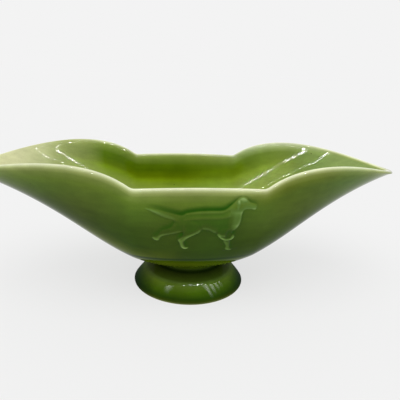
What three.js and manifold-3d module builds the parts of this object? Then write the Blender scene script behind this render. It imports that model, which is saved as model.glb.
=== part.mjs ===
// A boat-shaped earthenware bowl with pointed wings on a round pedestal foot, and a walking hunting
// dog in low relief on its front wall. Sizes are in millimetres. X runs along the bowl, its front
// faces -Y, Z is up, and the origin is the middle of the foot ring, on the table.
import * as THREE from "three";
import { mergeVertices } from "three/addons/utils/BufferGeometryUtils.js";
import Module from "manifold-3d";

const wasm = await Module();
wasm.setup();

// The cast hull and its lip. The crest line is the top of the lip, along the middle of the wall.
const wall = 5;
const floorThickness = 6;
const hullDepth = 84;
const halfLength = 187.5;
const straightHalfLength = 50.5;
const cornerHalfWidth = 63.5;
const midHalfWidth = 64.7;
const midCrown = 1.3;

// The wings. Each crest line is one cubic curve from a corner to the point: one handle carries it up
// from the corner, and the other brings it down to the point.
const wingLiftAlong = 41;
const wingLiftHalfWidth = 60.4;
const wingLift = 32.4;
const wingFallAlong = 23.6;
const wingFallHalfWidth = 48;
const wingFallLift = 6.6;
const tipRise = 1.6;
const tipSolid = 10;
const stemDepth = 1.2;

// The keel, as one cubic curve from the hull's middle to the point.
const keelLevelAlong = 76.7;
const keelTurnAlong = 82.9;
const keelTurnDrop = 40.7;

// Cross-sections of the hull, from keel to lip, in shares of the half width and of the depth there:
// a full, flat-floored middle that sharpens to a V towards the points.
const middleSection = [[0, 0], [0.88, 0], [0.975, 0.37], [1, 1]];
const wingSection = [[0, 0], [0.33, 0.22], [0.62, 0.72], [1, 1]];
const sharpening = 1.7;

// The pedestal foot, which stands under the hull. Its side is an arc from the table to the neck.
const footHeight = 22;
const footRadius = 51;
const footNeckRadius = 30;
const footSideRadius = 78;
const footWall = 6;
const footRingWidth = 4.5;
const footEdgeRound = 1;
const slipFilm = 0.3;

// The dog relief. Its outlines are drawn from the front, with the middle of the back line as origin.
const dogBackDrop = 16;
const dogBodyHeight = 1.7;
const dogNearLegHeight = 2;
const dogFarLegHeight = 1.1;
const dogEarHeight = 2.5;

// How finely the curves are stepped.
const middleSteps = 6;
const wingSteps = 15;
const noseSteps = 3;
const sectionSteps = 13;
const lipSteps = 5;
const footSteps = 64;
const footSideSteps = 8;
const outlineSteps = 3;

const up = (v) => new THREE.Vector3(0, 0, v);

// A closed surface over a row of rings. Both end rings are pinched flat, so merging closes them.
function wrap(rings) {
  const around = rings[0].length;
  const faces = [];
  for (let ring = 0; ring + 1 < rings.length; ring++) {
    for (let step = 0; step < around; step++) {
      const a = ring * around + step;
      const b = ring * around + ((step + 1) % around);
      faces.push([a, a + around, b], [b, a + around, b + around]);
    }
  }
  const loose = new THREE.BufferGeometry();
  const corners = rings.flat().flatMap((point) => point.toArray());
  loose.setAttribute("position", new THREE.Float32BufferAttribute(corners, 3));
  loose.setIndex(faces.flat());
  const merged = mergeVertices(loose, 0.001);
  const index = merged.getIndex().array;
  const kept = [];
  for (let at = 0; at < index.length; at += 3) {
    const [a, b, c] = index.slice(at, at + 3);
    if (a !== b && b !== c && c !== a) {
      kept.push(a, b, c);
    }
  }
  merged.setIndex(kept);
  return merged;
}

function toSolid(geometry) {
  const bare = geometry.clone();
  bare.deleteAttribute("normal");
  bare.deleteAttribute("uv");
  const merged = mergeVertices(bare, 0.001);
  const triVerts = new Uint32Array(merged.getIndex().array);
  const vertProperties = new Float32Array(merged.getAttribute("position").array);
  return new wasm.Manifold(new wasm.Mesh({ numProp: 3, vertProperties, triVerts }));
}

function toGeometry(solid) {
  const mesh = solid.getMesh();
  const geometry = new THREE.BufferGeometry();
  geometry.setAttribute("position", new THREE.BufferAttribute(mesh.vertProperties, 3));
  geometry.setIndex(new THREE.BufferAttribute(mesh.triVerts, 1));
  return geometry;
}

// The crest line's stations from the middle of the hull to one point, with the way out of the wall
// in plan. The last few stand at the point and turn outwards to lie along the hull.
function crestStations() {
  const stations = [];
  for (let step = 0; step < middleSteps; step++) {
    const share = step / middleSteps;
    const bow = 1 - share * share;
    const y = cornerHalfWidth + (midHalfWidth - cornerHalfWidth) * bow;
    const crest = new THREE.Vector3(straightHalfLength * share, y, hullDepth + midCrown * bow);
    stations.push({ crest, outward: new THREE.Vector2(0, 1), along: 0 });
  }
  const liftX = straightHalfLength + wingLiftAlong;
  const fallX = halfLength - wingFallAlong;
  const wing = new THREE.CubicBezierCurve3(
    new THREE.Vector3(straightHalfLength, cornerHalfWidth, hullDepth),
    new THREE.Vector3(liftX, wingLiftHalfWidth, hullDepth + wingLift),
    new THREE.Vector3(fallX, wingFallHalfWidth, hullDepth + wingFallLift),
    new THREE.Vector3(halfLength, 0, hullDepth + tipRise),
  );
  for (let step = 0; step <= wingSteps; step++) {
    const along = step / wingSteps;
    const run = wing.getTangent(along);
    const outward = new THREE.Vector2(-run.y, run.x).normalize();
    stations.push({ crest: wing.getPoint(along), outward, along });
  }
  const { crest, outward } = stations.at(-1);
  for (let step = 1; step <= noseSteps; step++) {
    const angle = outward.angle() * (1 - step / noseSteps);
    const turned = new THREE.Vector2(Math.cos(angle), Math.sin(angle));
    stations.push({ crest, outward: turned, along: 1 });
  }
  return stations;
}

const stations = crestStations();
const tipHeight = hullDepth + tipRise - wall / 2;

// Half of the keel, as height over distance from the middle. The inside is the same curve, raised
// by the floor's thickness and ending where the solid tip begins.
function keelCurve(lift, start, end) {
  const rise = Math.atan2(keelTurnDrop, halfLength - keelTurnAlong);
  return new THREE.CubicBezierCurve(
    start,
    new THREE.Vector2(keelLevelAlong, start.y),
    new THREE.Vector2(
      keelTurnAlong - lift * Math.sin(rise),
      hullDepth - keelTurnDrop + lift * Math.cos(rise),
    ),
    end,
  );
}

const outerKeel = keelCurve(
  0,
  new THREE.Vector2(0, 0),
  new THREE.Vector2(halfLength, tipHeight - stemDepth),
);
const innerKeel = keelCurve(
  floorThickness,
  new THREE.Vector2(0, floorThickness),
  new THREE.Vector2(halfLength - tipSolid, tipHeight),
);

function keelAt(curve, distance) {
  let low = 0;
  let high = 1;
  for (let halving = 0; halving < 40; halving++) {
    const middle = (low + high) / 2;
    if (curve.getPoint(middle).x < distance) {
      low = middle;
    } else {
      high = middle;
    }
  }
  return curve.getPoint(high);
}

// One rib of the hull, from the keel to the lip's edge: the section's shape between the two.
function rib(keel, edge, sharpness) {
  const handles = middleSection.map(([out, rise], at) => {
    const [sharpOut, sharpRise] = wingSection[at];
    return new THREE.Vector2(
      THREE.MathUtils.lerp(out, sharpOut, sharpness),
      THREE.MathUtils.lerp(rise, sharpRise, sharpness),
    );
  });
  return new THREE.CubicBezierCurve(...handles).getPoints(sectionSteps).map((share) => {
    const x = THREE.MathUtils.lerp(keel.x, edge.x, share.y);
    return new THREE.Vector3(x, edge.y * share.x, THREE.MathUtils.lerp(keel.y, edge.z, share.y));
  });
}

// The outside of the hull at a station, grown outwards by a distance.
function outerRib(station, grow = 0) {
  const reach = wall / 2 + grow;
  const x = station.crest.x + station.outward.x * reach;
  const y = station.crest.y + station.outward.y * reach;
  const edge = new THREE.Vector3(x, y, station.crest.z - wall / 2);
  const keel = keelAt(outerKeel, (x * halfLength) / (halfLength + reach));
  keel.y -= grow;
  return rib(keel, edge, Math.pow(keel.x / halfLength, sharpening));
}

// The inside of the hull at a station. It draws in from the crest line and stops short of the point.
function innerRib(station) {
  const beside = (wall / 2) * (1 - Math.pow(station.along, 8));
  const x = station.crest.x - station.outward.x * beside - tipSolid * Math.pow(station.along, 4);
  const y = station.crest.y - station.outward.y * beside;
  const edge = new THREE.Vector3(x, Math.max(y, 0), station.crest.z - wall / 2);
  return rib(keelAt(innerKeel, x), edge, Math.pow(x / halfLength, sharpening));
}

// The half-round lip between the two ribs of a station, without its ends.
function lip(outerEdge, innerEdge) {
  const middle = outerEdge.clone().add(innerEdge).multiplyScalar(0.5);
  const half = outerEdge.clone().sub(middle);
  const points = [];
  for (let step = 1; step < lipSteps; step++) {
    const angle = (Math.PI * step) / lipSteps;
    const out = half.clone().multiplyScalar(Math.cos(angle));
    points.push(middle.clone().add(out).add(up((wall / 2) * Math.sin(angle))));
  }
  return points;
}

// The whole hull from one point to the other, given the half ring from the keel round to the middle.
function loft(halfRing) {
  const halves = stations.map(halfRing);
  const side = (half, mirror) => half.map((point) => point.clone().multiply(mirror));
  const ringOf = (half, end) => {
    const front = side(half, new THREE.Vector3(end, -1, 1));
    const back = side(half, new THREE.Vector3(end, 1, 1)).reverse();
    return [...front, ...back.slice(1, -1)];
  };
  const left = halves.slice(1).reverse().map((half) => ringOf(half, -1));
  const right = halves.map((half) => ringOf(half, 1));
  return wrap([...left, ...right]);
}

function shellHalfRing(station) {
  const outer = outerRib(station);
  const inner = innerRib(station);
  return [...outer, ...lip(outer.at(-1), inner.at(-1)), ...inner.reverse()];
}

// The hull as if it were solid and grown by a distance, closed by a straight deck between its edges.
function grownHull(grow) {
  const halfRing = (station) => {
    const outer = outerRib(station, grow);
    const edge = outer.at(-1);
    return [...outer, new THREE.Vector3(edge.x, 0, edge.z)];
  };
  return toSolid(loft(halfRing));
}

// The foot before its top is shaped: a thick ring turned from one closed profile.
function footBlank() {
  const top = footHeight + hullDepth / 4;
  const neckInside = footNeckRadius - footWall;
  const arc = (start, end, radius) => {
    const chord = end.clone().sub(start);
    const bulge = new THREE.Vector2(chord.y, -chord.x).normalize();
    const depth = Math.sqrt(radius * radius - chord.lengthSq() / 4);
    const centre = start.clone().lerp(end, 0.5).addScaledVector(bulge, -depth);
    const from = start.clone().sub(centre).angle();
    const turn = 2 * Math.asin(chord.length() / 2 / radius);
    return Array.from({ length: footSideSteps + 1 }, (_, step) => {
      const angle = from + (turn * step) / footSideSteps;
      return new THREE.Vector2(Math.cos(angle), Math.sin(angle)).multiplyScalar(radius).add(centre);
    });
  };
  const outside = arc(
    new THREE.Vector2(footRadius, footEdgeRound),
    new THREE.Vector2(footNeckRadius, footHeight),
    footSideRadius,
  );
  const inside = arc(
    new THREE.Vector2(footRadius - footEdgeRound - footRingWidth, 0),
    new THREE.Vector2(neckInside, footHeight - footWall / 2),
    footSideRadius - footWall,
  );
  const profile = [
    new THREE.Vector2(footRadius - footEdgeRound, 0),
    ...outside,
    new THREE.Vector2(footNeckRadius, top),
    new THREE.Vector2(neckInside, top),
    ...inside.reverse(),
    new THREE.Vector2(footRadius - footEdgeRound, 0),
  ];
  return new THREE.LatheGeometry(profile, footSteps).rotateX(Math.PI / 2);
}

// Outlines of the dog, walking to the right, with only the points that shape them.
const dogTrunk = [
  [-41.2, 2.2], [-33.5, 1.4], [-24, -1], [-14, -3.2], [-9.5, -1.5], [-1, -0.1], [8, 0.3],
  [16.5, 0.4], [20.5, 2], [25, 6.3], [28.4, 9.8], [31.6, 11.2], [34.6, 10.3], [37.4, 7.2],
  [42.6, 5], [43.4, 2.6], [42, 0.4], [38, 1.1], [34, 0.5], [32.6, -2.8], [32.2, -7.2],
  [31.5, -11], [29.4, -14.8], [25.6, -17.6], [19.5, -19.6], [12.5, -18.8], [7, -16.2],
  [1.5, -15.6], [-8, -17], [-15, -15], [-19.2, -8.2], [-27.2, -5.1], [-36.5, -0.3],
];
const dogNearHindLeg = [
  [-14, -6.5], [-6, -5], [1, -9], [2, -15], [-0.2, -18.2], [-7.6, -22.3], [-10.8, -25.6],
  [-10, -29.2], [-7.2, -31.6], [-10.6, -32.7], [-13.4, -30.8], [-14.8, -27], [-16, -23.4],
  [-12.2, -19.4], [-14.2, -13.5],
];
const dogFarHindLeg = [
  [-13, -6.5], [-18.6, -9], [-21.6, -13.6], [-28, -16.2], [-31.4, -20.6], [-35.4, -22],
  [-33.2, -24.9], [-30.2, -24.8], [-27.6, -21.2], [-17.5, -18.6], [-10, -16],
];
const dogStraightForeleg = [
  [19, -14], [17.6, -21], [19.4, -26.4], [21.2, -30], [21.6, -34], [24.6, -35.4],
  [27.4, -34.6], [25.2, -31.4], [24.8, -26], [25.6, -16],
];
const dogRaisedForeleg = [
  [17, -12], [13.6, -18.4], [16, -22.8], [20.6, -25.6], [25.4, -25], [28.1, -22.2],
  [26.8, -19.6], [24.4, -20.6], [21.6, -21.2], [22.6, -17.4], [25.6, -13.4],
];
const dogEar = [[28.6, 9.2], [26.8, 6], [26.6, 2.6], [28.2, -0.2], [30.2, 2.6], [31, 6.6]];

// One plane of the relief: an outline cut through the clay skin that lies on the front wall.
const clearOfFront = grownHull(slipFilm);
function reliefPlane(outline, height) {
  const points = outline.map(([x, y]) => new THREE.Vector2(x, y + hullDepth - dogBackDrop));
  const shape = new THREE.Shape();
  shape.moveTo(points[0].x, points[0].y);
  shape.splineThru([...points.slice(1), points[0]]);
  const depth = midHalfWidth + wall + height;
  const cutter = new THREE.ExtrudeGeometry(shape, {
    depth,
    bevelEnabled: false,
    curveSegments: outlineSteps,
  });
  cutter.rotateX(Math.PI / 2);
  return toSolid(cutter).intersect(grownHull(slipFilm + height)).subtract(clearOfFront);
}

const relief = reliefPlane(dogTrunk, dogBodyHeight)
  .add(reliefPlane(dogFarHindLeg, dogFarLegHeight))
  .add(reliefPlane(dogStraightForeleg, dogFarLegHeight))
  .add(reliefPlane(dogNearHindLeg, dogNearLegHeight))
  .add(reliefPlane(dogRaisedForeleg, dogNearLegHeight))
  .add(reliefPlane(dogEar, dogEarHeight));

const footCut = grownHull(slipFilm).translate([0, 0, footHeight]);
const foot = toSolid(footBlank()).subtract(footCut);

const glaze = (color) => new THREE.MeshStandardMaterial({ color, roughness: 0.12, metalness: 0 });
const piece = (name, geometry, color) => {
  const mesh = new THREE.Mesh(geometry, glaze(color));
  mesh.name = name;
  return mesh;
};

// The bowl and its relief sit on the foot, so they share one group raised by its height.
const bowlOnFoot = new THREE.Group();
bowlOnFoot.add(piece("bowl", loft(shellHalfRing), 0x5f8133));
bowlOnFoot.add(piece("dog_relief", toGeometry(relief), 0x6f9040));
bowlOnFoot.position.z = footHeight;

const pedestalBowl = new THREE.Group();
pedestalBowl.add(piece("pedestal_foot", toGeometry(foot), 0x3f6420));
pedestalBowl.add(bowlOnFoot);

export default pedestalBowl;
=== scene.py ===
# A green glazed bowl shaped like a boat, on a round pedestal foot, with a walking setter in low
# relief on its front wall. Lengths are in millimetres until a mesh is made, which is in metres.
import math

import bmesh
import bpy
import numpy as np
from mathutils import Matrix, Vector


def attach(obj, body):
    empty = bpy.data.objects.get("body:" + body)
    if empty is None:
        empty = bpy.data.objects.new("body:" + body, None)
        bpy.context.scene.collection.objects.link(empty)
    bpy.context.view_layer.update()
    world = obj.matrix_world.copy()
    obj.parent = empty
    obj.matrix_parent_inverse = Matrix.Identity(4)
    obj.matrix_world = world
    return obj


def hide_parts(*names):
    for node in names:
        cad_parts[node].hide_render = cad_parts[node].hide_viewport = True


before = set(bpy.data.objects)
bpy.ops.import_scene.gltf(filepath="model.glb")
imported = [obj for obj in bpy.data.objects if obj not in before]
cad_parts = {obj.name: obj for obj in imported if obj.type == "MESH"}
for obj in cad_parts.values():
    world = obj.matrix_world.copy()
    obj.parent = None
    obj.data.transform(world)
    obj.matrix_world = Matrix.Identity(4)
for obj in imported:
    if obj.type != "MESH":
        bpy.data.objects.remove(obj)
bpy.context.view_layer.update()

# The bowl
# One slip casting in white earthenware, 5 mm thick, whose rounded lip was sponged by hand.
# Its two ends are drawn up and out into pointed wings, and its middle is full and flat-floored.
MM = 0.001
wall = 5
floor_thickness = 6
hull_depth = 84
half_length = 187.5
foot_height = 22
straight_half_length = 50.5
corner_half_width = 63.5
mid_half_width = 64.7
mid_crown = 1.3
tip_rise = 1.6
tip_solid = 10
stem_depth = 1.2
corner_softness = 1.6
corner_reach = 5

# A wing's crest line runs from the corner to the point: along, half width and height.
wing_crest = [
    (straight_half_length, corner_half_width, hull_depth),
    (straight_half_length + 41, 60.4, hull_depth + 31.96),
    (half_length - 23.6, 48, hull_depth + 6.6),
    (half_length, 0, hull_depth + tip_rise),
]
keel_level_along = 76.7
keel_turn_along = 82.9
keel_turn_drop = 40.7

# Handles of a rib from keel to lip, in shares of half width and depth, in the middle and at a point.
middle_section = [(0, 0), (0.88, 0), (0.975, 0.37), (1, 1)]
wing_section = [(0, 0), (0.33, 0.22), (0.62, 0.72), (1, 1)]
sharpening = 1.7

# How late along a wing its wall thins and its tip fills up, as powers of the wing's share.
wall_thins = 8
tip_fills = 4

# How finely the hull is divided, and how the turn from the lip to the inside is softened: over
# which rows of its ring, counted from the lip's end, and how many times.
middle_columns = 34
wing_columns = 84
nose_columns = 6
columns_between = 16
wall_rows = 60
lip_rows = 10
keel_places = 2001
softened_rows = (-4, 7)
softening_passes = 14
weld_distance = 0.005


def cubic(handles, share):
    """Points of a cubic curve, one row for each share of its run."""
    a, b, c, d = (np.array(handle, float) for handle in handles)
    t = np.asarray(share, float)[:, None]
    return (1 - t) ** 3 * a + 3 * (1 - t) ** 2 * t * b + 3 * (1 - t) * t**2 * c + t**3 * d


def make_crest():
    """The crest line from the middle to a point: x, y, z, the wall's way out, the wing's share."""
    across = np.arange(middle_columns * columns_between) / (middle_columns * columns_between)
    bow = 1 - across**2
    middle = np.stack(
        [
            straight_half_length * across,
            corner_half_width + (mid_half_width - corner_half_width) * bow,
            hull_depth + mid_crown * bow,
            np.full_like(across, math.pi / 2),
            np.zeros_like(across),
        ],
        1,
    )
    along = np.linspace(0, 1, wing_columns * columns_between + 1)
    wing = cubic(wing_crest, along)
    run = np.gradient(wing, axis=0)
    wing = np.column_stack([wing, np.arctan2(run[:, 0], -run[:, 1]), along])
    turn = np.linspace(1, 0, nose_columns * columns_between + 1)[1:]
    nose = np.repeat(wing[-1:], len(turn), 0)
    nose[:, 3] *= turn
    crest = np.concatenate([middle, wing, nose])
    # The sponge softened the two corners where the straight lip meets a wing.
    step = straight_half_length / len(middle)
    reach = int(corner_reach * corner_softness / step)
    weight = np.exp(-0.5 * (np.arange(-reach, reach + 1) * step / corner_softness) ** 2)
    weight /= weight.sum()
    near = slice(len(middle) - reach, len(middle) + reach)
    wide = slice(near.start - reach, near.stop + reach)
    crest[near] = np.stack([np.convolve(column, weight, "valid") for column in crest[wide].T], 1)
    return crest


crest = make_crest()
crest_share = np.linspace(0, 1, len(crest))
corner_share = middle_columns / (middle_columns + wing_columns + nose_columns)
tip_height = hull_depth + tip_rise - wall / 2


def keel_curve(lift, start_height, end):
    """Half of the keel, as distances from the middle and heights. The inside is the outside lifted."""
    rise = math.atan2(keel_turn_drop, half_length - keel_turn_along)
    turn = (
        keel_turn_along - lift * math.sin(rise),
        hull_depth - keel_turn_drop + lift * math.cos(rise),
    )
    handles = [(0, start_height), (keel_level_along, start_height), turn, end]
    return cubic(handles, np.linspace(0, 1, keel_places)).T


outer_keel = keel_curve(0, 0, (half_length, tip_height - stem_depth))
inner_keel = keel_curve(floor_thickness, floor_thickness, (half_length - tip_solid, tip_height))


def wall_places(station, share, inside=False):
    """Places on the wall. Its stations run from 0 in the middle to 1 or -1 at a point, and its shares
    from 0 at the keel to 1 at the lip."""
    at = [np.interp(np.abs(station), crest_share, column) for column in crest.T]
    x, y, z, angle, along = at
    if inside:
        beside = wall / 2 * (1 - along**wall_thins)
        edge_x = np.maximum(x - np.cos(angle) * beside - tip_solid * along**tip_fills, 0)
        edge_y = np.maximum(y - np.sin(angle) * beside, 0)
        keel_x, keel_z = edge_x, np.interp(edge_x, *inner_keel)
        sharpness = (edge_x / half_length) ** sharpening
    else:
        edge_x = x + np.cos(angle) * wall / 2
        edge_y = y + np.sin(angle) * wall / 2
        keel_x = edge_x * half_length / (half_length + wall / 2)
        keel_z = np.interp(keel_x, *outer_keel)
        sharpness = (keel_x / half_length) ** sharpening
    t = share
    out, rise = (
        3 * (1 - t) ** 2 * t * (first + (first_end - first) * sharpness)
        + 3 * (1 - t) * t**2 * (second + (second_end - second) * sharpness)
        + t**3
        for first, first_end, second, second_end in zip(
            middle_section[1], wing_section[1], middle_section[2], wing_section[2]
        )
    )
    px = keel_x + (edge_x - keel_x) * rise
    pz = keel_z + (z - wall / 2 - keel_z) * rise + foot_height
    return np.stack([np.where(station < 0, -px, px), edge_y * out, pz], -1)


def warped_grid(places, **values):
    """A grid whose corners are moved to these places and welded where they meet, with a value each."""
    rows, columns, _ = places.shape
    bm = bmesh.new()
    bmesh.ops.create_grid(bm, x_segments=columns - 1, y_segments=rows - 1, size=1)
    layers = [bm.verts.layers.float.new(key) for key in values]
    fields = [field.ravel() for field in values.values()]
    for at, (vert, place) in enumerate(zip(bm.verts, places.reshape(-1, 3) * MM)):
        vert.co = place
        for layer, field in zip(layers, fields):
            vert[layer] = field[at]
    bmesh.ops.remove_doubles(bm, verts=bm.verts, dist=weld_distance * MM)
    bmesh.ops.recalc_face_normals(bm, faces=bm.faces)
    return bm


def finished_piece(name, bm, material, node):
    """Makes the piece from its mesh, gives it its finish, and lets it stand for its CAD node."""
    for face in bm.faces:
        face.smooth = True
    mesh = bpy.data.meshes.new(name)
    bm.to_mesh(mesh)
    bm.free()
    mesh.materials.append(material)
    piece = bpy.data.objects.new(name, mesh)
    bpy.context.scene.collection.objects.link(piece)
    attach(piece, "root")
    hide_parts(node)
    return piece


def linear(hex_colour):
    """An sRGB colour such as #88AA44 as the linear colour that a shader reads."""
    channels = [int(hex_colour[at : at + 2], 16) / 255 for at in (1, 3, 5)]
    return [c / 12.92 if c <= 0.04045 else ((c + 0.055) / 1.055) ** 2.4 for c in channels] + [1]


def add_node(tree, kind, inputs, **settings):
    """Adds a node, sets its options, and fills its inputs with a value or another node's output."""
    node = tree.nodes.new(kind)
    for name, value in settings.items():
        setattr(node, name, value)
    for socket, value in inputs.items():
        if isinstance(value, bpy.types.NodeSocket):
            tree.links.new(value, node.inputs[socket])
        else:
            node.inputs[socket].default_value = value
    return node


# Clear green lead glaze, dipped over the white body and fired to a wet gloss. It is pale where it ran
# thin off the lip and darker lower down.
# Some runs below also paint light: painted sheen towards the points, a painted highlight low on the
# left, painted reflections in the left wing and under the bowl, and painted shade on the foot.
glaze = bpy.data.materials.new("green_dipped_glaze")
glaze.use_nodes = True
tree = glaze.node_tree
tree.nodes.clear()
MIX_FACTOR, MIX_FIRST, MIX_SECOND, MIX_COLOUR = 0, 6, 7, 2

place = add_node(tree, "ShaderNodeTexCoord", {}).outputs["Object"]
axes = add_node(tree, "ShaderNodeSeparateXYZ", {"Vector": place}).outputs
from_lip = add_node(tree, "ShaderNodeAttribute", {}, attribute_name="from_lip").outputs["Fac"]
hollow_depth = add_node(tree, "ShaderNodeAttribute", {}, attribute_name="hollow_depth").outputs["Fac"]
glaze_break = add_node(tree, "ShaderNodeAttribute", {}, attribute_name="glaze_break").outputs["Fac"]

# The dip left clouds about 40 mm across, streaks about 4 mm wide that run along the bowl, a mottle of
# about 9 mm and a grain of about 1 mm. Each pattern, with its share of the colour's value:
streaks = {"Vector": place, "Scale": (22, 250, 250)}
along_bowl = add_node(tree, "ShaderNodeMapping", streaks).outputs["Vector"]
glaze_patterns = [(place, 25, 0.10), (along_bowl, 1, 0.06), (place, 110, 0.05), (place, 1000, 0.04)]

# Each run of glaze colours goes from level to level of one measure: millimetres down from the lip
# outside and inside, the share of the way down the hollow, and metres along the bowl and up.
lip_outside = [
    (0.6, "#DDE3BC"), (1.6, "#CDD2AC"), (3.2, "#A8B27A"), (4.8, "#8D9957"), (7.5, "#6B7E36"),
    (13, "#587122"), (20, "#49631C"), (36, "#364C12"), (80, "#243A00"),
]
lip_outside_right = [
    (0.6, "#DDE3BC"), (1.6, "#CDD2AC"), (3.2, "#9CA66C"), (5.4, "#74823A"), (9.7, "#586B1E"),
    (16, "#4B621E"), (31, "#495E1E"), (43, "#3C5010"), (80, "#243A00"),
]
# Paler towards both points outside: painted sheen, the pale grazing reflection on the wings' outer
# flanks.
right_flank_sheen = [(0.06, None), (1.5, "#BFD8A0")]
left_flank_sheen = [(-0.05, None), (-1.5, "#B0A074")]
# An olive tone low on the left of the outside: a painted highlight.
low_left_painted_glow = "#4C5C00"
down_hollow = [
    (0.04, "#7F9340"), (0.15, "#57720C"), (0.22, "#546E05"), (0.30, "#627905"), (0.36, "#7C9816"),
    (0.52, "#94A850"), (1.0, "#84A038"),
]
down_hollow_right = [
    (0.04, "#90A250"), (0.15, "#6E8720"), (0.22, "#6C8510"), (0.30, "#768F1A"), (0.36, "#8DA830"),
    (0.52, "#96AC55"), (1.0, "#8AA040"),
]
lip_inside = [(-4.2, None), (-2.6, "#8C9A55"), (-1.3, "#B9C292"), (-0.2, "#D6DCB4")]
lip_inside_wing = [
    (-10, None), (-7, "#8EA25A"), (-4.5, "#A2B276"), (-2.5, "#B2BE8E"), (-1.2, "#C0C8A4"),
    (-0.3, "#DADFBE"),
]
# Paler inside towards the left point: a painted pale reflection.
left_wing_reflection = [(-0.080, None), (-0.116, "#9EA868"), (-0.134, "#B2B886"), (-0.155, "#BEC094")]
right_wing = [(0.060, None), (0.105, "#768E44"), (0.150, "#7C9052")]
worn_point = [(0.181, None), (0.188, "#868B68")]
# Under the bowl: a painted dark line, then an olive band that is a painted reflection of the foot.
under_hull_reflection = [
    (0.0465, None), (0.0450, "#1C3600"), (0.0442, "#1C3600"), (0.0425, "#3A4E04"), (0.038, "#465508"),
    (0.0245, "#3C4E0A"),
]
# Down the foot: the dark band just under the bowl is painted shade and a painted reflection of the
# bowl's underside, over glaze pooled at the neck. The pale line at the bottom is the glaze's thin edge.
down_foot_glaze_and_shade = [
    (0.0235, "#34460A"), (0.0208, "#182604"), (0.0195, "#2C380C"), (0.0155, "#3A4A12"),
    (0.0142, "#506426"), (0.0122, "#586F1E"), (0.008, "#405A04"), (0.004, "#263E02"),
    (0.002, "#303E02"), (0.0006, "#6A7240"), (0.0003, "#D8CFB8"),
]
# Darker low on the foot's left and right sides: painted shade.
foot_sides_shade = [(0.003, "#0A2602"), (0.010, "#1A360C"), (0.0155, "#445426"), (0.020, "#566434")]
# Over the dog the glaze broke pale on what stands out, and pooled dark in what lies deep.
broken_pale = [(0.05, None), (1.0, "#5C7A34"), (2.0, "#8CA662")]
pooled_dark = [(-0.05, None), (-1.2, "#204E00")]
# A few iron specks from the clay, under half a millimetre, by how near their middle is.
iron_specks = [(0.04, None), (0.02, "#3C3D18")]
specks_per_metre = 60

# Where one run gives way to another, on the same measures.
right_outside = (0.025, 0.055)
right_hollow = (-0.010, 0.040)
left_outside = (-0.015, -0.045)
low_outside = (52, 66)
foot_side = (0.033, 0.049)
foot_top = (0.0245, 0.0235)
right_wing_start = (0.045, 0.070)
right_wing_end = (0.155, 0.105)
over_lip = (-0.4, 0.4)


def blend(measure, levels, first, second):
    """One colour that turns into another between two levels of a measure."""
    start, end = levels
    amount = add_node(tree, "ShaderNodeMapRange", {"Value": measure, "From Min": start, "From Max": end})
    mixed = {MIX_FACTOR: amount.outputs["Result"], MIX_FIRST: first, MIX_SECOND: second}
    return add_node(tree, "ShaderNodeMix", mixed, data_type="RGBA").outputs[MIX_COLOUR]


def lay_glaze(measure, levels, under=None):
    """Glaze colours one over another, each reached at its level of the measure."""
    laid = linear(levels[0][1]) if under is None else under
    for (start, _), (end, hex_colour) in zip(levels, levels[1:]):
        laid = blend(measure, (start, end), laid, linear(hex_colour))
    return laid


def both_shares(first, second):
    """How much of a place lies in two stretches at once, each a measure and its two levels."""
    shares = {}
    for socket, (measure, (start, end)) in enumerate((first, second)):
        share = {"Value": measure, "From Min": start, "From Max": end}
        shares[socket] = add_node(tree, "ShaderNodeMapRange", share).outputs["Result"]
    return add_node(tree, "ShaderNodeMath", shares, operation="MULTIPLY").outputs[0]


# The tones that change from wing to wing do so in clouds, whose edges wander by 12 mm.
border_wander = 0.012
clouds_per_metre = 14
noise_low, noise_high = 0.3, 0.7
clouds = {"Vector": place, "Scale": clouds_per_metre, "Detail": 1.0}
drift = add_node(tree, "ShaderNodeTexNoise", clouds).outputs["Fac"]
wander = {"Value": drift, "From Min": noise_low, "From Max": noise_high}
wander.update({"To Min": -border_wander, "To Max": border_wander})
wander = add_node(tree, "ShaderNodeMapRange", wander).outputs["Result"]
along = add_node(tree, "ShaderNodeMath", {0: axes["X"], 1: wander}, operation="ADD").outputs[0]
to_side = add_node(tree, "ShaderNodeMath", {0: axes["X"]}, operation="ABSOLUTE").outputs[0]

outside = lay_glaze(from_lip, lip_outside)
outside = blend(along, right_outside, outside, lay_glaze(from_lip, lip_outside_right))
# Painted sheen, paler towards both points.
outside = lay_glaze(along, right_flank_sheen, outside)
outside = lay_glaze(along, left_flank_sheen, outside)
# A painted olive highlight low on the left of the outside.
low_left_glow_share = both_shares((from_lip, low_outside), (along, left_outside))
outside = blend(low_left_glow_share, (0, 1), outside, linear(low_left_painted_glow))
# Painted reflection of the foot, with a painted dark line above it, under the bowl.
outside = lay_glaze(axes["Z"], under_hull_reflection, outside)
# Down the foot, with painted shade and reflection just under the bowl.
on_foot = lay_glaze(axes["Z"], down_foot_glaze_and_shade)
# Painted shade on the foot's left and right sides.
on_foot = blend(to_side, foot_side, on_foot, lay_glaze(axes["Z"], foot_sides_shade))
outside = blend(axes["Z"], foot_top, outside, on_foot)

hollow = lay_glaze(hollow_depth, down_hollow)
hollow = blend(along, right_hollow, hollow, lay_glaze(hollow_depth, down_hollow_right))
hollow = lay_glaze(along, right_wing, hollow)
is_right_wing = both_shares((axes["X"], right_wing_start), (axes["X"], right_wing_end))
inside = lay_glaze(from_lip, lip_inside, hollow)
inside = blend(is_right_wing, (0, 1), inside, lay_glaze(from_lip, lip_inside_wing, hollow))
# Painted pale reflection inside the left wing.
inside = lay_glaze(along, left_wing_reflection, inside)

colour = blend(from_lip, over_lip, inside, outside)
colour = lay_glaze(axes["X"], worn_point, colour)
colour = lay_glaze(glaze_break, broken_pale, colour)
colour = lay_glaze(glaze_break, pooled_dark, colour)

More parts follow.
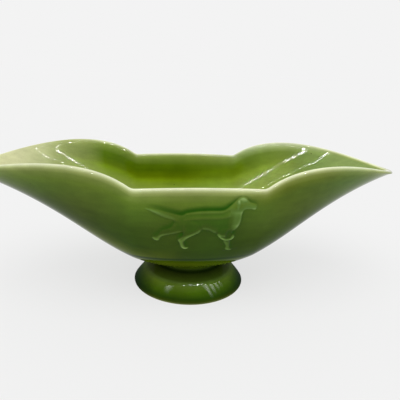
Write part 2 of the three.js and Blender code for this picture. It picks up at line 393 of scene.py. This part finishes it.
tone = 1.0
for where, scale, swing in glaze_patterns:
    pattern = {"Vector": where, "Scale": scale, "Detail": 2.0}
    level = {"Value": add_node(tree, "ShaderNodeTexNoise", pattern).outputs["Fac"]}
    level.update({"From Min": noise_low, "From Max": noise_high})
    level.update({"To Min": 1 - swing, "To Max": 1 + swing})
    level = add_node(tree, "ShaderNodeMapRange", level).outputs["Result"]
    tone = add_node(tree, "ShaderNodeMath", {0: tone, 1: level}, operation="MULTIPLY").outputs[0]
# The clouds are also a little bluer or yellower. A hue of 0.5 leaves the colour as it is.
hue_swing = 0.012
hue = {"Value": drift, "From Min": noise_low, "From Max": noise_high}
hue.update({"To Min": 0.5 - hue_swing, "To Max": 0.5 + hue_swing})
hue = add_node(tree, "ShaderNodeMapRange", hue).outputs["Result"]
varied = {"Color": colour, "Hue": hue, "Value": tone}
colour = add_node(tree, "ShaderNodeHueSaturation", varied).outputs["Color"]

speck = {"Vector": place, "Scale": specks_per_metre}
speck = add_node(tree, "ShaderNodeTexVoronoi", speck).outputs["Distance"]
colour = lay_glaze(speck, iron_specks, colour)

# The ring under the foot was wiped clean of glaze and is matt.
glaze_roughness = 0.06
bare_roughness = 0.7
glaze_end, bare_start = 0.0008, 0.0003
bare = {"Value": axes["Z"], "From Min": glaze_end, "From Max": bare_start}
bare.update({"To Min": glaze_roughness, "To Max": bare_roughness})
bare = add_node(tree, "ShaderNodeMapRange", bare).outputs["Result"]

# The fired surface is not quite flat: it swells over about 12 mm by a few hundredths of one.
swells_per_metre = 80
swell_height = 0.3
swell_strength = 0.1
swell = {"Vector": place, "Scale": swells_per_metre, "Detail": 1.0}
swell = add_node(tree, "ShaderNodeTexNoise", swell).outputs["Fac"]
surface = {"Height": swell, "Strength": swell_strength, "Distance": swell_height * MM}
surface = add_node(tree, "ShaderNodeBump", surface).outputs["Normal"]
body = add_node(
    tree,
    "ShaderNodeBsdfPrincipled",
    {
        "Base Color": colour,
        "Roughness": bare,
        "IOR": 1.5,
        "Specular IOR Level": 0.025,
        "Coat Weight": 0.08,
        "Coat Roughness": 0.06,
        "Coat Normal": surface,
        "Normal": surface,
    },
)
add_node(tree, "ShaderNodeOutputMaterial", {"Surface": body.outputs["BSDF"]})

# The hull's ring at each station goes up the outside, over the lip, down the inside and back.
columns = middle_columns + wing_columns + nose_columns
station, share = np.meshgrid(
    np.arange(-columns, columns + 1) / columns, np.arange(wall_rows + 1) / wall_rows
)
outer_wall = wall_places(station, share)
inner_wall = wall_places(station, share, inside=True)
lip_middle = (outer_wall[-1] + inner_wall[-1]) / 2
lip_half = (outer_wall[-1] - inner_wall[-1]) / 2
lip_turn = math.pi * np.arange(1, lip_rows)[:, None, None] / lip_rows
lip_crest = np.array([0, 0, wall / 2])
lip_wall = lip_middle + lip_half * np.cos(lip_turn) + lip_crest * np.sin(lip_turn)
back_half = np.concatenate([outer_wall, lip_wall, inner_wall[::-1]])
# The sponge and the glaze softened the turn from the lip to the inside of the wall.
first_row, end_row = (wall_rows + lip_rows + row for row in softened_rows)
for _ in range(softening_passes):
    before, here, after = (back_half[first_row + shift : end_row + shift] for shift in (-1, 0, 1))
    back_half[first_row:end_row] = (before + 2 * here + after) / 4
front_half = back_half * [1, -1, 1]

# The two measures that the glaze follows: how far from the lip, and how far down the hollow.
crest_row = wall_rows + lip_rows // 2
steps = np.linalg.norm(np.diff(back_half, axis=0), axis=2)
down_from = np.concatenate([np.zeros((1, steps.shape[1])), np.cumsum(steps, 0)])
from_crest = down_from[crest_row] - down_from
hollow_floor = inner_wall[0, :, 2]
least_height = 0.01
hollow_height = lip_wall[lip_rows // 2, :, 2] - hollow_floor + least_height
down_hollow_share = 1 - (back_half[..., 2] - hollow_floor) / hollow_height

hull = warped_grid(
    np.concatenate([front_half, back_half[-2::-1]]),
    from_lip=np.concatenate([from_crest, from_crest[-2::-1]]),
    hollow_depth=np.concatenate([down_hollow_share, down_hollow_share[-2::-1]]),
)
bowl = finished_piece("glazed_bowl", hull, glaze, "bowl")

# The pedestal foot
# Cast apart and luted under the bowl with slip while both were damp. It is hollow, rises as a low
# dome from a flat dry ring to a narrow neck, and is glazed with the bowl except where it stands.
foot_radius = 51
foot_neck_radius = 30
foot_side_radius = 78
foot_wall = 6
foot_ring_width = 4.5
foot_edge_round = 1
foot_turns = 160
foot_side_steps = 24
edge_steps = 4
neck_steps = 6
neck_flare = 2.2
neck_overlap = 0.5
seam_weld = 0.001
# The neck's rows start this far apart, which marks them, and are then pressed up to the bowl.
neck_mark = 0.01


def arc(start, end, radius, count):
    """Points of an arc from start to end that bulges outwards."""
    start, end = np.array(start, float), np.array(end, float)
    chord = end - start
    length = np.hypot(*chord)
    bulge = np.array([chord[1], -chord[0]]) / length
    centre = (start + end) / 2 - bulge * math.sqrt(radius**2 - length**2 / 4)
    first = math.atan2(*(start - centre)[::-1])
    turn = 2 * math.asin(length / 2 / radius)
    angle = first + turn * np.linspace(0, 1, count + 1)
    return centre + radius * np.stack([np.cos(angle), np.sin(angle)], 1)


edge_turn = np.linspace(0, math.pi / 2, edge_steps + 1)
round_off = foot_radius - foot_edge_round * (1 - np.sin(edge_turn))
round_up = foot_edge_round * (1 - np.cos(edge_turn))
outside_arc = arc(
    (foot_radius, foot_edge_round),
    (foot_neck_radius, foot_height),
    foot_side_radius,
    foot_side_steps,
)
inside_arc = arc(
    (foot_radius - foot_edge_round - foot_ring_width, 0),
    (foot_neck_radius - foot_wall, foot_height - foot_wall / 2),
    foot_side_radius - foot_wall,
    foot_side_steps,
)
neck = [(foot_neck_radius, foot_height + neck_mark * step) for step in range(1, neck_steps + 1)]
inner_neck = (foot_neck_radius - foot_wall, foot_height + 10 * neck_mark)
profile = [*zip(round_off, round_up), *outside_arc[1:], *neck, inner_neck, *inside_arc[::-1]]

foot = bmesh.new()
ring = [foot.verts.new((radius * MM, 0, height * MM)) for radius, height in profile]
edges = [foot.edges.new(pair) for pair in zip(ring, ring[1:] + ring[:1])]
bmesh.ops.spin(
    foot,
    geom=ring + edges,
    cent=(0, 0, 0),
    axis=(0, 0, 1),
    angle=2 * math.pi,
    steps=foot_turns,
    use_merge=True,
)
bmesh.ops.remove_doubles(foot, verts=foot.verts, dist=seam_weld * MM)
bmesh.ops.recalc_face_normals(foot, faces=foot.faces)

# The neck is pressed up to the bowl's curved underside, and its slip joint flares out a little. Its
# height there is the mean of the nearest few corners of the hull, the nearer the weightier.
nearest_corners = 4
least_away = 0.01
underside = outer_wall[:, len(outer_wall[0]) // 2 :].reshape(-1, 3)
for vert in foot.verts:
    climb = (vert.co.z / MM - foot_height) / (neck_mark * neck_steps)
    if climb > 0.5 / neck_steps:
        climb = min(climb, 1)
        radius = math.hypot(vert.co.x, vert.co.y) / MM
        if radius > foot_neck_radius - 1:
            grown = 1 + neck_flare * (1 - math.sqrt(1 - climb**2)) / radius
            vert.co.x *= grown
            vert.co.y *= grown
        away = np.hypot(underside[:, 0] - abs(vert.co.x) / MM, underside[:, 1] - abs(vert.co.y) / MM)
        nearest = np.argsort(away)[:nearest_corners]
        closeness = 1 / (away[nearest] + least_away)
        under = float((underside[nearest, 2] * closeness).sum() / closeness.sum())
        vert.co.z = (foot_height + (under + neck_overlap - foot_height) * climb) * MM

# On the foot the glaze is a thinner coat, with less shine.
foot_glaze = glaze.copy()
foot_glaze.name = "green_dipped_glaze_on_foot"
foot_body = next(node for node in foot_glaze.node_tree.nodes if node.type == "BSDF_PRINCIPLED")
foot_body.inputs["Specular IOR Level"].default_value = 0.0
foot_body.inputs["Coat Weight"].default_value = 0.07

# All of the foot lies far below the lip, where the glaze is at its darkest.
foot_from_lip = 60
lip_layer = foot.verts.layers.float.new("from_lip")
for vert in foot.verts:
    vert[lip_layer] = foot_from_lip
pedestal = finished_piece("glazed_foot", foot, foot_glaze, "pedestal_foot")

# The dog relief
# A setter at a walk, pressed from a sprig mould and luted on the damp wall, then softened by the
# glaze, which breaks pale along its back, ear and legs and pools dark round its outline.
dog_below_lip = 16
dog_middle_height = hull_depth - dog_below_lip + foot_height
dog_trunk = [
    (-41.2, 2.2), (-33.5, 1.4), (-24, -1), (-14, -3.2), (-9.5, -1.5), (-1, -0.1), (8, 0.3),
    (16.5, 0.4), (20.5, 2), (25, 6.3), (28.4, 9.8), (31.6, 11.2), (34.6, 10.3), (37.4, 7.2),
    (42.6, 5), (43.4, 2.6), (42, 0.4), (38, 1.1), (34, 0.5), (32.6, -2.8), (32.2, -7.2),
    (31.5, -11), (29.4, -14.8), (25.6, -17.6), (19.5, -19.6), (12.5, -18.8), (7, -16.2),
    (1.5, -15.6), (-8, -17), (-15, -15), (-19.2, -8.2), (-27.2, -5.1), (-36.5, -0.3),
]
dog_near_hind_leg = [
    (-14, -6.5), (-6, -5), (1, -9), (2, -15), (-0.2, -18.2), (-7.6, -22.3), (-10.8, -25.6),
    (-10, -29.2), (-7.2, -31.6), (-10.6, -32.7), (-13.4, -30.8), (-14.8, -27), (-16, -23.4),
    (-12.2, -19.4), (-14.2, -13.5),
]
dog_far_hind_leg = [
    (-13, -6.5), (-18.6, -9), (-21.6, -13.6), (-28, -16.2), (-31.4, -20.6), (-35.4, -22),
    (-33.2, -24.9), (-30.2, -24.8), (-27.6, -21.2), (-17.5, -18.6), (-10, -16),
]
dog_straight_foreleg = [
    (19, -14), (17.6, -21), (19.4, -26.4), (21.2, -30), (21.6, -34), (24.6, -35.4),
    (27.4, -34.6), (25.2, -31.4), (24.8, -26), (25.6, -16),
]
dog_raised_foreleg = [
    (17, -12), (13.6, -18.4), (16, -22.8), (20.6, -25.6), (25.4, -25), (28.1, -22.2),
    (26.8, -19.6), (24.4, -20.6), (21.6, -21.2), (22.6, -17.4), (25.6, -13.4),
]
dog_ear = [(28.6, 9.2), (26.8, 6), (26.6, 2.6), (28.2, -0.2), (30.2, 2.6), (31, 6.6)]

# Each form: its outline, how far it stands off the wall, and how wide its rounded edge is.
dog_forms = [
    (dog_far_hind_leg, 1.3, 2.4),
    (dog_straight_foreleg, 1.3, 2.4),
    (dog_trunk, 1.9, 5.5),
    (dog_near_hind_leg, 2.2, 3.5),
    (dog_raised_foreleg, 2.2, 2.6),
    (dog_ear, 2.6, 2.0),
]
# Modelled strokes over the forms: the line, its width and how much it lifts or sinks the clay.
flank_ridge = [
    (-11.6, -6.4), (-5.3, -5.7), (1, -5.1), (8.2, -5.1), (14.6, -5.2), (19.4, -4.6), (22.3, -3.6),
]
dog_strokes = [
    (flank_ridge, 1.0, 0.5),
    ([(-10, -3.2), (-2, -2.8), (8, -2.6), (17, -2.4), (22, -0.4)], 1.0, -0.55),
    ([(32.0, -2), (31.0, -7), (28.6, -12.4)], 1.3, 0.3),
    ([(17.5, -21.4), (20.7, -22.6), (23.9, -22.3)], 0.7, -0.7),
    ([(33.6, 6.4), (34.6, 6.6)], 0.5, -0.35),
    ([(36.5, 3.4), (41.8, 2.6)], 0.5, -0.25),
]
relief_half_width = 49
relief_columns = 300
relief_rows = 170
relief_low_share = 0.60
relief_high_share = 0.985
relief_skirt = 6.0
relief_root = 1.0
# The skirt rises this much towards the dog from an edge that lies this deep in the wall. Outside
# it, and a little more, the sheet of clay is cut off.
skirt_lift = 0.07
skirt_sink = 0.02
skirt_margin = 0.5
# How many times the clay, the mound that it makes and its wider surroundings are softened.
clay_passes = 6
mound_passes = 34
broad_passes = 130
ground_passes = 200
# How many rows below and above a place the mound is compared, where the glaze hangs or gathers.
rows_below = 7
rows_above = 14


def closed_spline(points, steps=6):
    """A smooth closed line through the points."""
    points = np.array(points, float)
    before, after, beyond = (np.roll(points, shift, 0) for shift in (1, -1, -2))
    t = (np.arange(steps) / steps)[:, None, None]
    line = 0.5 * (
        2 * points
        + (after - before) * t
        + (2 * before - 5 * points + 4 * after - beyond) * t**2
        + (3 * points - before - 3 * after + beyond) * t**3
    )
    return line.transpose(1, 0, 2).reshape(-1, 2)


def line_distance(line, x, z):
    """How far each place is from a line of points."""
    nearest = np.full(x.shape, np.inf)
    for (ax, az), (bx, bz) in zip(line[:-1], line[1:]):
        dx, dz = bx - ax, bz - az
        along = np.clip(((x - ax) * dx + (z - az) * dz) / (dx * dx + dz * dz), 0, 1)
        nearest = np.minimum(nearest, np.hypot(x - ax - along * dx, z - az - along * dz))
    return nearest


def inside_distance(outline, x, z):
    """How far each place is inside a closed outline, or minus how far it is outside."""
    line = closed_spline(outline)
    line = np.concatenate([line, line[:1]])
    inside = np.zeros(x.shape, bool)
    for (ax, az), (bx, bz) in zip(line[:-1], line[1:]):
        slope = (bx - ax) / ((bz - az) or 1)
        inside ^= ((az > z) != (bz > z)) & (x < ax + (z - az) * slope)
    distance = line_distance(line, x, z)
    return np.where(inside, distance, -distance)


def soften(field, passes):
    """Each value drawn towards its neighbours, as wet clay and glaze flow."""
    for _ in range(passes):
        padded = np.pad(field, 1, "edge")
        beside = padded[:-2, 1:-1] + padded[2:, 1:-1] + padded[1:-1, :-2] + padded[1:-1, 2:]
        field = (beside + 4 * field) / 8
    return field


def ramp(field, start, end):
    """From 0 where the field is at its start, or before it, to 1 at its end and past it."""
    return np.clip((field - start) / (end - start), 0, 1)


def hull_measure(field, station, share):
    """A measure of the hull's outside, between the corners of its own grid."""
    column = (station + 1) * columns
    row = share * wall_rows
    left, low = column.astype(int), row.astype(int)
    right, high = column - left, row - low
    lower = field[low, left] * (1 - right) + field[low, left + 1] * right
    upper = field[low + 1, left] * (1 - right) + field[low + 1, left + 1] * right
    return lower * (1 - high) + upper * high


reach = relief_half_width / straight_half_length * corner_share
station, share = np.meshgrid(
    np.linspace(-reach, reach, relief_columns + 1),
    np.linspace(relief_low_share, relief_high_share, relief_rows + 1),
)
front_wall = wall_places(station, share) * [1, -1, 1]
x, z = front_wall[..., 0], front_wall[..., 2] - dog_middle_height
outwards = np.cross(np.gradient(front_wall, axis=1), np.gradient(front_wall, axis=0))
outwards /= np.linalg.norm(outwards, axis=2, keepdims=True)

clay = np.zeros(x.shape)
outline_distance = np.full(x.shape, -np.inf)
for outline, height, edge in dog_forms:
    distance = inside_distance(outline, x, z)
    outline_distance = np.maximum(outline_distance, distance)
    rounded = np.clip(distance / edge, 0, 1)
    clay = np.maximum(clay, height * np.sqrt(1 - (1 - rounded) ** 2))
within = ramp(outline_distance, 0, 0.8)
for line, width, lift in dog_strokes:
    clay += within * lift * np.exp(-((line_distance(line, x, z) / width) ** 2))
clay = soften(clay, clay_passes)

# The glaze ran thin over what stands out from its softened surroundings, and gathered in what lies
# deep, most of all in the groove above the back.
mound = soften(clay, mound_passes)
broad = soften(clay, broad_passes)
edge_below = mound - np.pad(mound, ((rows_below, 0), (0, 0)), "edge")[:-rows_below]
pool_above = broad - np.pad(broad, ((rows_above, 0), (0, 0)), "edge")[:-rows_above]
pool_above = np.minimum(pool_above, 0) * np.maximum(ramp(z, 11, 5), 0.1)
pooled = 1.8 * (clay - mound) + 0.3 * (mound - soften(mound, ground_passes))
pooled += 0.8 * np.maximum(edge_below, 0)
pooled += 0.8 * pool_above * ramp(outline_distance, 0.6, -0.4)
# It is also thin on the head, thick on the trunk, and thin on the lower legs and the chest.
head = ramp(z, 5, 10)
trunk = ramp(z, -1, -5)
lower_legs = ramp(z, -18, -21)
chest = ramp(x, 21, 27) * ramp(z, 3, -1) * ramp(z, -16, -12)
pooled += ramp(outline_distance, 0, 1) * (1.5 * head - 0.5 * trunk + 0.5 * lower_legs + 1.1 * chest)
pooled = np.clip(pooled, -1.2, 2.0)

skirt = ramp(outline_distance, -relief_skirt, -2)
skirt = skirt * skirt * (3 - 2 * skirt)
lift = clay + skirt_lift * skirt - skirt_sink
pooled *= skirt

relief = warped_grid(
    front_wall + outwards * lift[..., None],
    from_lip=hull_measure(from_crest, station, share),
    glaze_break=pooled,
    stray=outline_distance,
)
stray_layer = relief.verts.layers.float["stray"]
stray = [vert for vert in relief.verts if vert[stray_layer] < -relief_skirt - skirt_margin]
bmesh.ops.delete(relief, geom=stray, context="VERTS")
dog = finished_piece("dog_in_relief", relief, glaze, "dog_relief")
sunk = dog.modifiers.new("sunk_in_the_wall", "SOLIDIFY")
sunk.thickness = relief_root * MM
sunk.offset = -1

# The studio
# A pale floor that runs out to an equally pale room, with soft light from all round. Only the glaze
# shows the small lamps: two rows whose dots lie in both wings, and one row and two tall windows,
# each with its bars, that the foot shows.
room_colour = linear("#F3F3F3")
room_light = 0.74
overhead_light = 0.5
overhead_lean = (-8, -22)
overhead_spread = 60
lamp_height = 1000
wing_rows = [
    [(-1000, -880), (22, -372), (141, -315), (800, -650)],
    [(-1100, -2200), (-118, -884), (380, -741), (1100, -1160)],
]
foot_row = [(-738, -297), (-314, -512), (120, -572), (576, -481), (902, -324)]
right_window = [(640, -700), (1150, 60)]
left_window = [(-784, -189), (-596, -543)]
# Each row, seen from above: its points, the piece that shows it, and its lamps' pitch, the half
# length of each, their width and their strength.
rows = [
    (wing_rows[0], bowl, 55, 18, 26, 850),
    (wing_rows[1], bowl, 67, 22, 50, 1000),
    (foot_row, pedestal, 67, 24, 30, 1200),
    (right_window, pedestal, 230, 110, 760, 60),
    (left_window, pedestal, 400, 200, 640, 60),
]
floor_half_width = 30000
floor_light = 1.2
floor_glow = 0.75
floor_colour = [channel / floor_light for channel in room_colour[:3]] + [1]

paper = bpy.data.materials.new("pale_paper")
paper.use_nodes = True
paper.node_tree.nodes.clear()
matte = add_node(paper.node_tree, "ShaderNodeBsdfDiffuse", {"Color": floor_colour})
glow = add_node(paper.node_tree, "ShaderNodeEmission", {"Color": room_colour, "Strength": 1.0})
surface = {0: floor_glow, 1: matte.outputs["BSDF"], 2: glow.outputs["Emission"]}
surface = add_node(paper.node_tree, "ShaderNodeMixShader", surface).outputs["Shader"]
add_node(paper.node_tree, "ShaderNodeOutputMaterial", {"Surface": surface})
floor_mesh = bpy.data.meshes.new("studio_floor")
floor_bm = bmesh.new()
bmesh.ops.create_grid(floor_bm, x_segments=1, y_segments=1, size=floor_half_width * MM)
floor_bm.to_mesh(floor_mesh)
floor_bm.free()
floor_mesh.materials.append(paper)
studio_floor = bpy.data.objects.new("studio_floor", floor_mesh)
bpy.context.scene.collection.objects.link(studio_floor)

# The room lights at one level and looks like the floor, also to the glaze.
world = bpy.data.worlds.new("soft_room")
bpy.context.scene.world = world
world.use_nodes = True
tree = world.node_tree
tree.nodes.clear()
sight = add_node(tree, "ShaderNodeLightPath", {}).outputs
seen = sight["Is Camera Ray"]
for other in ("Is Glossy Ray", "Is Transmission Ray"):
    seen = add_node(tree, "ShaderNodeMath", {0: seen, 1: sight[other]}, operation="MAXIMUM").outputs[0]
level = {"Value": seen, "To Min": room_light, "To Max": room_colour[0]}
level = add_node(tree, "ShaderNodeMapRange", level).outputs["Result"]
room = add_node(tree, "ShaderNodeBackground", {"Color": (1, 1, 1, 1), "Strength": level})
add_node(tree, "ShaderNodeOutputWorld", {"Surface": room.outputs["Background"]})

# A large soft light overhead, a little to the left and towards the camera.
overhead_data = bpy.data.lights.new("overhead", "SUN")
overhead_data.energy = math.pi * overhead_light
overhead_data.angle = math.radians(overhead_spread)
overhead = bpy.data.objects.new("overhead", overhead_data)
lean_x, lean_y = (math.tan(math.radians(lean)) for lean in overhead_lean)
overhead.matrix_world = Vector((lean_x, lean_y, 1)).to_track_quat("Z", "Y").to_matrix().to_4x4()
overhead.visible_glossy = False
bpy.context.scene.collection.objects.link(overhead)

# One strip of light for each stretch of a row. Its pattern leaves only the lamps, with soft edges.
stretches = [(stretch, kind) for points, *kind in rows for stretch in zip(points, points[1:])]
for (start, end), (receiver, pitch, lamp_half_length, width, strength) in stretches:
    start, end = (Vector((*point, lamp_height)) * MM for point in (start, end))
    row_data = bpy.data.lights.new("lamp_row", "AREA")
    row_data.shape = "RECTANGLE"
    row_data.size = (end - start).length
    row_data.size_y = width * MM
    row_data.energy = row_data.size * row_data.size_y * math.pi * strength
    row_data.use_nodes = True
    tree = row_data.node_tree
    tree.nodes.clear()
    spot = add_node(tree, "ShaderNodeNewGeometry", {}).outputs["Parametric"]
    spot = add_node(tree, "ShaderNodeSeparateXYZ", {"Vector": spot}).outputs
    count = row_data.size / MM / pitch
    down_row = add_node(tree, "ShaderNodeMath", {0: spot["X"], 1: count}, operation="MULTIPLY")
    glow = 1.0
    for run, edge in ((down_row.outputs[0], 0.5 - lamp_half_length / pitch), (spot["Y"], 0.0)):
        wave = add_node(tree, "ShaderNodeMath", {0: run, 1: 0.5}, operation="PINGPONG").outputs[0]
        wave = {"Value": wave, "From Min": edge, "From Max": 0.5}
        wave = add_node(tree, "ShaderNodeMapRange", wave, interpolation_type="SMOOTHSTEP")
        glow = {0: glow, 1: wave.outputs["Result"]}
        glow = add_node(tree, "ShaderNodeMath", glow, operation="MULTIPLY").outputs[0]
    glow = add_node(tree, "ShaderNodeEmission", {"Strength": glow})
    add_node(tree, "ShaderNodeOutputLight", {"Surface": glow.outputs["Emission"]})
    row = bpy.data.objects.new("lamp_row", row_data)
    run = (end - start).normalized()
    back = ((start + end) / 2).normalized()
    side = back.cross(run).normalized()
    turned = Matrix([[run[at], side[at], run.cross(side)[at]] for at in range(3)]).to_4x4()
    row.matrix_world = Matrix.Translation((start + end) / 2) @ turned
    row.visible_camera = False
    row.visible_diffuse = False
    lit = bpy.data.collections.new("lit_by_row")
    lit.objects.link(receiver)
    row.light_linking.receiver_collection = lit
    bpy.context.scene.collection.objects.link(row)

# The camera, at the photograph's place and angle.
camera_place = Vector((-38.0, -348.4, 188.9)) * MM
camera_yaw = math.radians(7.6)
camera_pitch = math.radians(17.62)
camera_roll = math.radians(2.3)
camera_data = bpy.data.cameras.new("camera")
camera_data.lens = 36.48
camera_data.sensor_width = 36
camera_data.clip_start = 0.01
camera = bpy.data.objects.new("camera", camera_data)
turned = Matrix.Rotation(-camera_yaw, 4, "Z") @ Matrix.Rotation(math.pi / 2 - camera_pitch, 4, "X")
camera.matrix_world = Matrix.Translation(camera_place) @ turned @ Matrix.Rotation(camera_roll, 4, "Z")
bpy.context.scene.collection.objects.link(camera)
bpy.context.scene.camera = camera
bpy.context.scene.view_settings.view_transform = "Standard"
